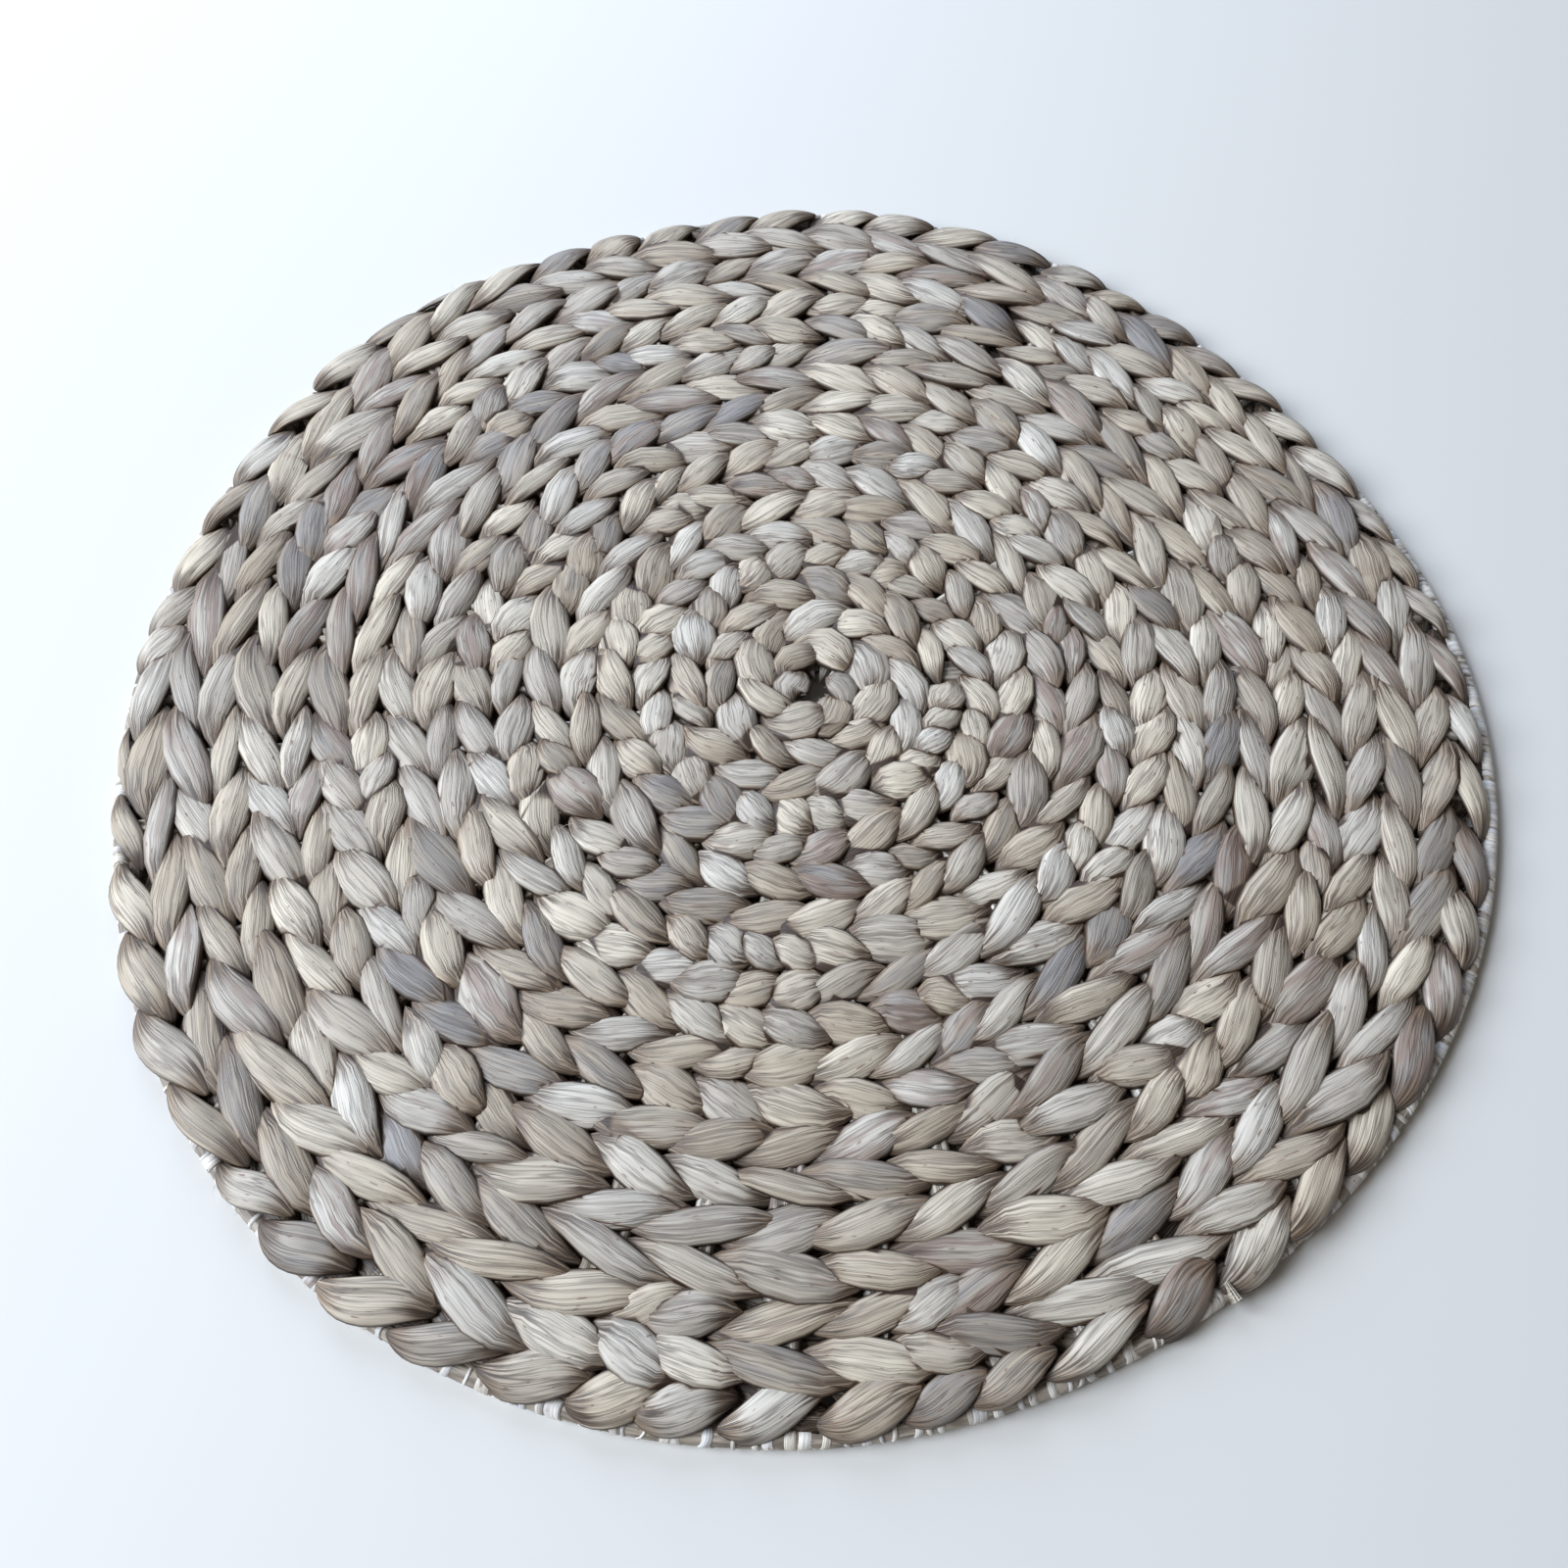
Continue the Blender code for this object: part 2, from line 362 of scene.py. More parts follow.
def spindles(name, grid, u, v, values, flip=False):
    """One piece from many spindles, given as a grid of points and two surface measures from 0 to 1."""
    points = close_ends(grid)
    count, each = points.shape[:2]
    quads, triangles = spindle_faces(grid.shape[1] - 2, grid.shape[2])
    if flip:
        quads, triangles = quads[:, ::-1], triangles[:, ::-1]
    shift = (np.arange(count) * each)[:, None, None]
    uv = close_ends(np.stack([u + 0 * grid[..., 0], v + 0 * grid[..., 0]], -1))
    values = {
        key: data.ravel() if data.ndim == 2 else np.repeat(data, each)
        for key, data in values.items()
    }
    quads, triangles = (quads + shift).reshape(-1, 4), (triangles + shift).reshape(-1, 3)
    return new_piece(name, points.reshape(-1, 3), quads, triangles, values, uv.reshape(-1, 2))


# %% [markdown]
# ## The shape of one stitch
# Each stem of a pair winds round its partner, so seen from above its middle line swings from one
# side of the row to the other while it rises over a spoke and dives again. A stitch is modelled as
# just that: a flat spindle, widest on top of the spoke and pinched at both tips. Neighbours cut
# into each other a little, and where two domed backs meet, the slanting seam appears by itself.

# %% Stitches along the rows
ALONG = 10
BACK_SIDEWAYS = np.array([1.0, 0.93, 0.64, 0.0, -0.64, -0.93, -1.0, 0.0])
BACK_RISE = np.array([0.0, 0.58, 0.94, 1.0, 0.94, 0.58, 0.0, -0.4])
HALF_LENGTH = 0.94
RIM_SHORTER = 0.30
RIM_SWING = 0.36
SWING = 0.27
SWING_END = 0.70
HALF_WIDTH = 0.585
TIP_POWER = 1.8
TIP_NARROWING = 0.95
RIM_NARROWING = 0.62
MID_HEIGHT = 0.0046
TOP_HEIGHT = float(cad_bounds[1][2])
TIP_DROP = 0.0030
TIP_DIVE = 2.7
SECTION_RISE = 0.0021
RIM_ROLL = 0.0024
RIM_FULLER = 0.02
RIM_BELLY = 0.75
RIM_TUCK = 0.0020
TUCK_REACH = 0.0080
# Heights between which painted shade grows in the low places between stitches, full at the floor
SEAM_TOP, SEAM_FLOOR = 0.0075, 0.0058
TONE_MEAN, TONE_SPREAD = 0.54, 0.24
UNDERSIDE_SLACK = 0.00002

# How the last row rolls over the hoop, and (bearing, spread, share) of the two bare stretches
ROLL_START, ROLL_REACH, ROLL_POWER = 0.0022, 0.0036, 1.6
TUCK_SHARE, MOST_TUCK = 0.7, 1.2
BARE_STRETCHES = ((-0.02, 0.42, 1.0), (-1.05, 0.62, 0.45))

# How far single stitches stray from the rule
SWING_STRAY, ROW_STRAY, SKEW_STRAY = 0.12, 0.025, 0.075
LENGTH_STRAY, SLIP_STRAY = 0.07, 0.0003
WIDTH_STRAY, RIDGE_STRAY, MOST_RIDGE = 0.12, 0.22, 0.4
FOLD_STRAY, TILT_STRAY = 0.18, 0.22
TOP_STRAY, LEVEL_STRAY = 0.0005, 0.0006

# A row narrower than the full one has flatter and lower stitches
FULL_ROW, LEAST_SHARE = 0.0093, 0.5
RISE_POWER, NARROW_ROW_DROP = 0.45, 0.002


def stitch_paths(stitches, profile, rng):
    """Middle lines of all stitches as x, y, with the along measure u from -1 to 1.

    Across the row: swing * sin(u * pi / 2 / end), held past its end. Along the row: half length * u.
    """
    count = len(stitches["turn"])
    u = np.sin(np.linspace(-1, 1, ALONG) * np.pi / 2)[None, :]
    vary = lambda spread: rng.normal(0, spread, (count, 1))
    swing = np.sin(np.clip(u / SWING_END, -1, 1) * np.pi / 2)
    reach = np.where(stitches["at_rim"] > 0, RIM_SWING, SWING)[:, None]
    across = stitches["lean"][:, None] * reach * (1 + vary(SWING_STRAY)) * swing + vary(ROW_STRAY)
    across = across + vary(SKEW_STRAY) * u
    length = HALF_LENGTH * (1 + vary(LENGTH_STRAY)) * stitches["pitch"][:, None]
    length = length * (1 - RIM_SHORTER * stitches["at_rim"][:, None])
    turn = stitches["turn"][:, None] + (length * u + vary(SLIP_STRAY)) / stitches["radius"][:, None]
    rows = stitches["rows_at_start"][:, None] - ROWS_PER_TURN * turn / (2 * np.pi) + across
    return place(turn, rows, 0.0, profile)[..., :2], u


def stitch_backs(path, u, width, rim, rng):
    """Flat spindles round the paths, as stitch by ring by section points.

    Half width: w * (1 - |u|^p)^q. Height: top - drop * |u|^d, less rise * (1 - back). The back is
    nearly flat with steep sides, is folded along a ridge of its own, and tilts a little. Where rim
    is 1, the stitch is fuller, has blunter ends, and its belly hangs lower.
    """
    count = len(path)
    vary = lambda spread: rng.normal(0, spread, (count, 1, 1))
    heading = np.gradient(path, axis=1)
    heading /= np.linalg.norm(heading, axis=-1, keepdims=True)
    side = np.stack([-heading[..., 1], heading[..., 0]], -1)[:, :, None, :]
    v = BACK_SIDEWAYS[None, None, :]
    power = TIP_NARROWING + (RIM_NARROWING - TIP_NARROWING) * rim[:, None]
    narrowing = (1 - np.abs(u) ** TIP_POWER) ** power
    half = (HALF_WIDTH * width * (1 + RIM_FULLER * rim))[:, None, None]
    half = half * (1 + vary(WIDTH_STRAY)) * narrowing[..., None]
    ridge = np.clip(vary(RIDGE_STRAY), -MOST_RIDGE, MOST_RIDGE)
    v = v + ridge * (1 - v**2)
    fold = np.abs(vary(FOLD_STRAY)) * np.abs(v - ridge) * (BACK_RISE > 0)
    back = BACK_RISE[None, None, :] - fold + vary(TILT_STRAY) * v
    back = back - RIM_BELLY * rim[:, None, None] * (BACK_RISE < 0)
    share = np.clip(width / FULL_ROW, LEAST_SHARE, 1.0)[:, None, None]
    rise = SECTION_RISE * share * narrowing[..., None] ** RISE_POWER
    top = TOP_HEIGHT - np.abs(vary(TOP_STRAY)) - (1 - share) * NARROW_ROW_DROP
    top = top - TIP_DROP * np.abs(u[..., None]) ** TIP_DIVE + vary(LEVEL_STRAY) * u[..., None]
    height = top - rise * (1 - back)
    grid = path[:, :, None, :] + side * (half * v)[..., None]
    return np.concatenate([grid, height[..., None]], -1), (1 - v) / 2


def roll_over_rim(grid):
    """Points past the body's edge sink, so that the last row rolls over the hoop.

    On the right and in front the row is also tucked in, by up to the tuck at the edge, and less
    towards its inner side, which leaves the outer half of the hoop bare there.
    """
    offset = grid[..., :2] - middle
    out = np.hypot(offset[..., 0], offset[..., 1])
    bearing = np.arctan2(offset[..., 1], offset[..., 0])
    edge = np.interp(np.mod(bearing, 2 * np.pi), *lip_profile, period=2 * np.pi)
    bare = sum(
        share * np.exp(-(((bearing - centre) / spread) ** 2))
        for centre, spread, share in BARE_STRETCHES
    )
    tuck = RIM_TUCK * bare * np.clip((out - edge + TUCK_REACH) / TUCK_REACH, 0, MOST_TUCK)
    grid[..., :2] -= offset * (tuck / out)[..., None]
    past = np.clip((out - tuck - edge + ROLL_START + TUCK_SHARE * tuck) / ROLL_REACH, 0, 1)
    grid[..., 2] -= RIM_ROLL * past**ROLL_POWER
    return grid


def shape_stitches(stitches, profile, upside, rng):
    """Points and measures of some stitches; upside is 1 above and -1 below."""
    path, u = stitch_paths(stitches, profile, rng)
    grid, v = stitch_backs(path, u, stitches["width"], stitches["at_rim"], rng)
    # Painted shade for the low places between stitches, growing as a point lies lower
    painted_sunk_shade = np.clip((SEAM_TOP - grid[..., 2]) / (SEAM_TOP - SEAM_FLOOR), 0, 1)
    if upside > 0:
        grid = roll_over_rim(grid)
        grid[..., 2] = np.minimum(grid[..., 2], TOP_HEIGHT)
    count = len(path)
    return {
        "grid": grid,
        "u": (u[..., None] + 1) / 2 + 0 * v,
        "v": v,
        "tone": np.clip(rng.normal(TONE_MEAN, TONE_SPREAD, count), 0, 1),
        "seed": rng.uniform(0, 1, count),
        "painted_sunk_shade": painted_sunk_shade,
    }


# %% [markdown]
# ## How clear each point lies
# The skin gets painted shade where two stitches meet. To find such places, each point is compared with the
# highest back of any other stitch at the same spot.

# %% The clearance map
def between(given, wanted):
    """Matrix that reads evenly spaced values between given ones, each a mix of its two neighbours."""
    at = np.linspace(0, given - 1, wanted)
    low = np.minimum(at.astype(int), given - 2)
    mix = np.zeros((wanted, given))
    mix[np.arange(wanted), low] = 1 - (at - low)
    mix[np.arange(wanted), low + 1] = at - low
    return mix


MAP_CELL = 0.0004
SAMPLES_ALONG, SAMPLES_ACROSS = 60, 27
FAR_CLEAR = 0.004


def clearance(grid):
    """How far each point lies above the other stitches there, in millimetres.

    The backs are sampled onto a map of small cells. Each cell keeps the heights of its two highest
    stitches, and a point is measured from the highest one that isn't its own.
    """
    backs = grid[:, :, BACK_RISE >= 0]
    dense = np.einsum(
        "ar,bs,nrsk->nabk", between(ALONG, SAMPLES_ALONG), between(backs.shape[2], SAMPLES_ACROSS), backs
    )
    count = len(grid)
    corner = dense[..., :2].min(axis=(0, 1, 2)) - MAP_CELL
    columns = int(np.ptp(dense[..., 1]) / MAP_CELL) + 4

    def cell_of(points):
        place_in = ((points[..., :2] - corner) / MAP_CELL).astype(int)
        return np.maximum(place_in[..., 0], 0) * columns + np.clip(place_in[..., 1], 0, columns - 1)

    def last_of_each(keys):
        return np.append(keys[1:] != keys[:-1], True)

    owner = np.broadcast_to(np.arange(count)[:, None, None], dense.shape[:3]).ravel()
    key, height = cell_of(dense).ravel() * count + owner, dense[..., 2].ravel()
    order = np.lexsort((height, key))
    key, height = key[order], height[order]
    highest = last_of_each(key)
    key, height = key[highest], height[highest]
    cell, owner = key // count, key % count
    order = np.lexsort((height, cell))
    cell, owner, height = cell[order], owner[order], height[order]
    best = np.flatnonzero(last_of_each(cell))
    cells = max(cell.max(), cell_of(grid).max()) + 1
    first_height, second_height = np.full(cells, -1.0), np.full(cells, -1.0)
    first_owner = np.full(cells, -1)
    first_height[cell[best]], first_owner[cell[best]] = height[best], owner[best]
    shared = best[(best > 0) & (cell[np.maximum(best - 1, 0)] == cell[best])]
    second_height[cell[shared]] = height[shared - 1]
    here = cell_of(grid)
    own = first_owner[here] == np.arange(count)[:, None, None]
    other = np.where(own, second_height[here], first_height[here])
    return np.clip(grid[..., 2] - other, -FAR_CLEAR / 2, FAR_CLEAR) * 1000


def lay_stitches(name, shaped, clear, upside):
    """One mesh from shaped stitches; those below are turned over about the mat's middle height."""
    grid = shaped["grid"].copy()
    if upside < 0:
        grid[..., 2] = np.maximum(2 * MID_HEIGHT - grid[..., 2], UNDERSIDE_SLACK)
    values = {
        "tone": shaped["tone"],
        "seed": shaped["seed"],
        "painted_sunk_shade": close_ends(shaped["painted_sunk_shade"]),
        "clear": close_ends(clear),
    }
    return spindles(name, grid, shaped["u"], shaped["v"], values, flip=upside < 0)


# %% [markdown]
# ## Three pieces of stitches
# The rim's row goes into a piece of its own, because it rolls over the hoop and is rounded more.

# %% Lay the stitches
def pick(stitches, wanted):
    """Those stitches for which wanted is true."""
    return {key: data[wanted] for key, data in stitches.items()}


on_rim = upper["at_rim"] > 0
inner = shape_stitches(pick(upper, ~on_rim), lip_profile, 1, np.random.default_rng(21))
outer = shape_stitches(pick(upper, on_rim), lip_profile, 1, np.random.default_rng(23))
below = shape_stitches(lower, seat_profile, -1, np.random.default_rng(22))
clear = clearance(np.concatenate([inner["grid"], outer["grid"]]))
inner_count = len(inner["grid"])
upper_stitches = lay_stitches("upper_stitches", inner, clear[:inner_count], 1)
rim_stitches = lay_stitches("rim_stitches", outer, clear[inner_count:], 1)
lower_stitches = lay_stitches("lower_stitches", below, clearance(below["grid"]), -1)
print("points hidden under another stitch:", round(float((clear < 0).mean()), 3))
rounding = rim_stitches.modifiers.new("rounding", "SUBSURF")
rounding.levels = rounding.render_levels = 1

# %% [markdown]
# ## The spokes between the stitches
# The spokes are flat bundles of two or three thin stems. Little of them shows: a pale sliver in the
# notch where four stitches meet. A bundle is a closed section with a ridged back, carried outwards.

# %% Spokes
SPOKE_WIDTH = 0.0078
SPOKE_BACK = 0.0067
SPOKE_BELLY = 0.0036
RIDGES = 3
SPOKE_STEPS = 30
BACK_POINTS, BELLY_POINTS = 13, 4
VALLEY_SHARE, RIDGE_SHARE, EDGE_POWER = 0.72, 0.28, 6
PUSHED_IN, NEAREST_START, PAST_SEAT = 0.012, 0.002, 0.001
WIDENING, POINT_SHARE = 0.03, 0.3
CROWDED_WITHIN, CROWDED_SHARE, BUNDLE_STRAY = 0.012, 0.75, 0.1
LOWERED_WITHIN, LOWERED_SHARE = 0.05, 0.45


def lay_spokes():
    """All the spokes as one mesh: each runs from where it was pushed in to the hoop.

    The back's height is belly + rise * (0.72 + 0.28 |sin|) * (1 - v^6), which makes three ridges.
    """
    v = np.concatenate([np.linspace(1, -1, BACK_POINTS), np.linspace(-1, 1, BELLY_POINTS)[1:-1]])
    v = v[None, None, :]
    on_back = (np.arange(v.size) < BACK_POINTS)[None, None, :]
    ridged = VALLEY_SHARE + RIDGE_SHARE * np.abs(np.sin(RIDGES * np.pi * (v + 1) / 2))
    rise = np.where(on_back, ridged * (1 - v**EDGE_POWER), 0)
    spoke = np.arange(SPOKES)[:, None]
    rim = np.interp(np.mod(spoke_turns[-1] + FIRST_END, 2 * np.pi), *seat_profile, period=2 * np.pi)
    begin = np.maximum(spoke_starts - PUSHED_IN, NEAREST_START)[:, None]
    along = np.linspace(0, 1, SPOKE_STEPS)[None, :]
    distance = begin + (rim[:, None] + PAST_SEAT - begin) * along
    half = SPOKE_WIDTH / 2 * np.clip((distance - begin) / WIDENING + POINT_SHARE, 0, 1)
    stray = 1 + BUNDLE_STRAY * rng.standard_normal((SPOKES, 1))
    half = half * np.clip(distance / CROWDED_WITHIN, CROWDED_SHARE, 1) * stray
    bearing = spoke_turn(spoke + 0 * along.astype(int), distance) + FIRST_END
    path = np.stack([np.cos(bearing), np.sin(bearing)], -1) * distance[..., None] + middle
    side = np.stack([-np.sin(bearing), np.cos(bearing)], -1)[:, :, None, :]
    grid = path[:, :, None, :] + side * (half[..., None] * v)[..., None]
    lowered = np.clip(distance / LOWERED_WITHIN, LOWERED_SHARE, 1)[..., None]
    height = SPOKE_BELLY + (SPOKE_BACK - SPOKE_BELLY) * rise * lowered + 0 * grid[..., 0]
    values = {"tone": rng.uniform(0.2, 1, SPOKES), "seed": rng.uniform(0, 1, SPOKES)}
    grid = np.concatenate([grid, height[..., None]], -1)
    return spindles("spokes", grid, along[..., None] * 6, (v + 1) / 2, values)


spokes = lay_spokes()

# %% [markdown]
# ## The bound hoop
# Under the last row lies a hoop half as thick as the mat. Thin strips are wound round it, close
# together in places and spread in others. The core is a tube carried round the outline,
# and each turn of strip is a small closed band that leans a little.

# %% Hoop core and binding
CORE_RADIUS = 0.00205
CORE_STEPS, CORE_AROUND = 420, 12
HOOP_CENTRE_HEIGHT = HOOP_THICKNESS / 2
BAND_COUNT = 400
BAND_THICKNESS = 0.00026
BAND_AROUND = 12
BAND_SHAPE, BAND_SCALE, NARROWEST_BAND, WIDEST_BAND = 5.0, 0.00045, 0.0009, 0.0042
BAND_LEAN = 0.0006
CROWDED_BY, CROWDED_BEARING, CROWDED_SPREAD = 2.4, -0.15, 0.45
SWELLING = 0.04


def hoop_line(bearing):
    """Middle line of the hoop at each bearing from the mat's middle."""
    seat = np.interp(np.mod(bearing, 2 * np.pi), *seat_profile, period=2 * np.pi)
    distance = seat + SEAT_DEPTH - HOOP_THICKNESS / 2
    return middle[0] + distance * np.cos(bearing), middle[1] + distance * np.sin(bearing)


def round_hoop(bearing, radius, angle):
    """Points at an angle round the hoop's own section: 0 outwards, a quarter turn up."""
    x, y = hoop_line(bearing)
    out = radius * np.cos(angle)
    z = HOOP_CENTRE_HEIGHT + radius * np.sin(angle)
    return np.stack([x + out * np.cos(bearing), y + out * np.sin(bearing), z], -1)


def torus_faces(steps, around):
    """Faces of a grid that closes on itself both ways."""
    step, spot = np.meshgrid(np.arange(steps), np.arange(around), indexing="ij")
    after, beside = (step + 1) % steps, (spot + 1) % around
    corners = [step * around + spot, step * around + beside]
    corners += [after * around + beside, after * around + spot]
    return np.stack(corners, -1).reshape(-1, 4)


NO_TRIANGLES = np.zeros((0, 3), int)


def lay_hoop():
    """The hoop's core: a tube that swells and thins a little along its length."""
    bearing = (np.arange(CORE_STEPS) * 2 * np.pi / CORE_STEPS)[:, None]
    angle = (np.arange(CORE_AROUND) * 2 * np.pi / CORE_AROUND)[None, :]
    wobble = 1 + SWELLING * np.sin(bearing * 37 + 2 * np.sin(bearing * 5)) + 0 * angle
    points = round_hoop(bearing + 0 * angle, CORE_RADIUS * wobble, angle + 0 * bearing)
    uv = np.stack([bearing / (2 * np.pi) * 60 + 0 * angle, angle / (2 * np.pi) + 0 * bearing], -1)
    flat = np.zeros(CORE_STEPS * CORE_AROUND)
    values = {"tone": flat + 0.45, "seed": flat + 0.5}
    quads = torus_faces(CORE_STEPS, CORE_AROUND)[:, ::-1]
    return new_piece(
        "hoop_core", points.reshape(-1, 3), quads, NO_TRIANGLES, values, uv.reshape(-1, 2)
    )


def lay_binding():
    """The bands of the binding, each a closed ring of flat section round the hoop.

    The bands sit where the running total of the crowding passes evenly spaced values, with jitter.
    """
    rng = np.random.default_rng(31)
    fine = np.linspace(0, 2 * np.pi, 1441)
    from_crowd = np.mod(fine - CROWDED_BEARING + np.pi, 2 * np.pi) - np.pi
    crowding = 1 + CROWDED_BY * np.exp(-((from_crowd / CROWDED_SPREAD) ** 2))
    total = np.cumsum(crowding) - crowding[0]
    wanted = (np.arange(BAND_COUNT) + rng.uniform(-0.5, 0.5, BAND_COUNT)) / BAND_COUNT * total[-1]
    bearing = np.interp(wanted, total, fine)
    width = np.clip(rng.gamma(BAND_SHAPE, BAND_SCALE, BAND_COUNT), NARROWEST_BAND, WIDEST_BAND)
    lean = rng.normal(0, BAND_LEAN, BAND_COUNT)
    angle = (np.arange(BAND_AROUND) * 2 * np.pi / BAND_AROUND)[None, :, None]
    across = np.array([-1.0, -0.7, 0.7, 1.0])[None, None, :]
    lift = np.array([-0.6, 1.0, 1.0, -0.6])[None, None, :]
    shift = width[:, None, None] / 2 * across + lean[:, None, None] * np.sin(angle)
    turned = bearing[:, None, None] + shift / MAT_RADIUS
    radius = CORE_RADIUS + BAND_THICKNESS * lift * rng.uniform(0.7, 1.0, (BAND_COUNT, 1, 1)) + 0 * turned
    points = round_hoop(turned, radius, angle + 0 * turned)
    count = points.shape[1] * points.shape[2]
    quads = torus_faces(BAND_AROUND, 4)[None] + (np.arange(BAND_COUNT) * count)[:, None, None]
    uv = np.stack([angle / (2 * np.pi) * 0.6 + 0 * turned, (across + 1) / 2 + 0 * turned], -1)
    values = {
        "tone": np.repeat(rng.uniform(0.3, 1, BAND_COUNT), count),
        "seed": np.repeat(rng.uniform(0, 1, BAND_COUNT), count),
    }
    quads, uv = quads.reshape(-1, 4), uv.reshape(-1, 2)
    return new_piece("hoop_binding", points.reshape(-1, 3), quads, NO_TRIANGLES, values, uv)


hoop_core = lay_hoop()
hoop_binding = lay_binding()

# %% [markdown]
# ## Fibres that came loose
# Dried stems fray. Ninety fine hairs stand off the work, nearly half of them at the rim and the
# others anywhere on the rows. Each is a thin three-sided tube along a bent line.

# %% Loose fibres
FIBRE_COUNT = 90
FIBRE_STEPS = 9
FIBRE_RADIUS = 0.00009
FIBRE_RIM_SHARE = 0.45
FIBRE_SHAPE, FIBRE_SCALE = 2.5, 0.0012
FIBRE_HEADING_STRAY, FIBRE_CURL = 0.7, 1.2


def lay_fibres():
    """Bent hairs: a start point, a heading, a curl, and a section that narrows to the free end."""
    rng = np.random.default_rng(41)
    turn = rng.uniform(0, 2 * np.pi, FIBRE_COUNT)
    rows = rng.uniform(2, 19, FIBRE_COUNT)
    at_rim = rng.uniform(0, 1, FIBRE_COUNT) < FIBRE_RIM_SHARE
    start, share = last_row(turn)
    rows = np.where(at_rim, start + share, np.minimum(rows, start))
    root = place(turn, rows, np.where(at_rim, 0.004, 0.0066), lip_profile)
    length = rng.gamma(FIBRE_SHAPE, FIBRE_SCALE, FIBRE_COUNT)[:, None]
    heading = np.where(at_rim, turn + FIRST_END, rng.uniform(0, 6.28, FIBRE_COUNT))
    heading = (heading + rng.normal(0, FIBRE_HEADING_STRAY, FIBRE_COUNT))[:, None]
    along = np.linspace(0, 1, FIBRE_STEPS)[None, :]
    bend = heading + rng.normal(0, FIBRE_CURL, (FIBRE_COUNT, 1)) * along
    rise = np.where(at_rim, rng.uniform(-0.001, 0.001, FIBRE_COUNT), 0.0012)[:, None]
    step = length / (FIBRE_STEPS - 1)
    x = root[:, 0:1] + np.cumsum(step * np.cos(bend), 1)
    y = root[:, 1:2] + np.cumsum(step * np.sin(bend), 1)
    z = root[:, 2:3] + rise * np.sin(along * np.pi * 0.7)
    spot = (np.arange(3) * 2 * np.pi / 3)[None, None, :]
    thick = FIBRE_RADIUS * (1 - 0.8 * along)[..., None]
    x = x[..., None] + thick * np.cos(spot) * np.sin(bend)[..., None]
    y = y[..., None] - thick * np.cos(spot) * np.cos(bend)[..., None]
    z = np.clip(z[..., None] + thick * np.sin(spot), 0.0001, TOP_HEIGHT + 0.001)
    grid = np.stack([x, y, z], -1)
    values = {"tone": np.full(FIBRE_COUNT, 0.9), "seed": np.full(FIBRE_COUNT, 0.5)}
    return spindles("loose_fibres", grid, along[..., None], 0 * spot, values)


loose_fibres = lay_fibres()

# %% [markdown]
# ## Stem skin
# A dried stem is satin, not glossy. Fine fibres run along it and draw together at the tips, which
# works by itself here: the pattern reads the UV map, whose second measure is squeezed with the
# stitch. Stems differ in colour from cool grey-brown to cream, and go brown where they bend under.
# The fibre pattern is a node group, because the spokes and the binding use it too.

# %% Node helpers
def add_node(tree, kind, inputs=None, **settings):
    """Adds a node: settings become its properties, and inputs are linked if sockets, else set."""
    made = tree.nodes.new(kind)
    for key, value in settings.items():
        setattr(made, key, value)
    for key, value in (inputs or {}).items():
        if isinstance(value, bpy.types.NodeSocket):
            tree.links.new(value, made.inputs[key])
        else:
            made.inputs[key].default_value = value
    return made


def calc(tree, operation, first, second=0.0, clamp=False):
    """Output of a Math node."""
    inputs = {0: first, 1: second}
    return add_node(tree, "ShaderNodeMath", inputs, operation=operation, use_clamp=clamp).outputs[0]


def blend_colours(tree, factor, first, second, mode="MIX"):
    """Colour output of a Mix node; Mix keeps its colour sockets at places 6 and 7."""
    made = add_node(tree, "ShaderNodeMix", data_type="RGBA", blend_type=mode, clamp_factor=True)
    for place_in, value in ((0, factor), (6, first), (7, second)):
        if isinstance(value, bpy.types.NodeSocket):
            tree.links.new(value, made.inputs[place_in])
        else:
            made.inputs[place_in].default_value = value
    return made.outputs[2]


def ramp(tree, factor, stops):
    """Colour output of a Color Ramp with (place, colour) stops."""
    made = add_node(tree, "ShaderNodeValToRGB", {"Fac": factor})
    elements = made.color_ramp.elements
    while len(elements) < len(stops):
        elements.new(0.5)
    for element, (position, colour) in zip(elements, stops):
        element.position = position
        element.color = (*colour, 1.0)
    return made.outputs["Color"]


def spread_range(tree, value, low, high, new_low=0.0, new_high=1.0):
    """Output of a smooth Map Range."""
    inputs = {"Value": value, "From Min": low, "From Max": high, "To Min": new_low, "To Max": new_high}
    return add_node(tree, "ShaderNodeMapRange", inputs, interpolation_type="SMOOTHSTEP").outputs[0]


# %% [markdown]
# ## The fibre pattern
# Noise stretched along the stem gives fine lines, slow patches and small specks. Creases are drawn
# where a slow noise passes its middle value.

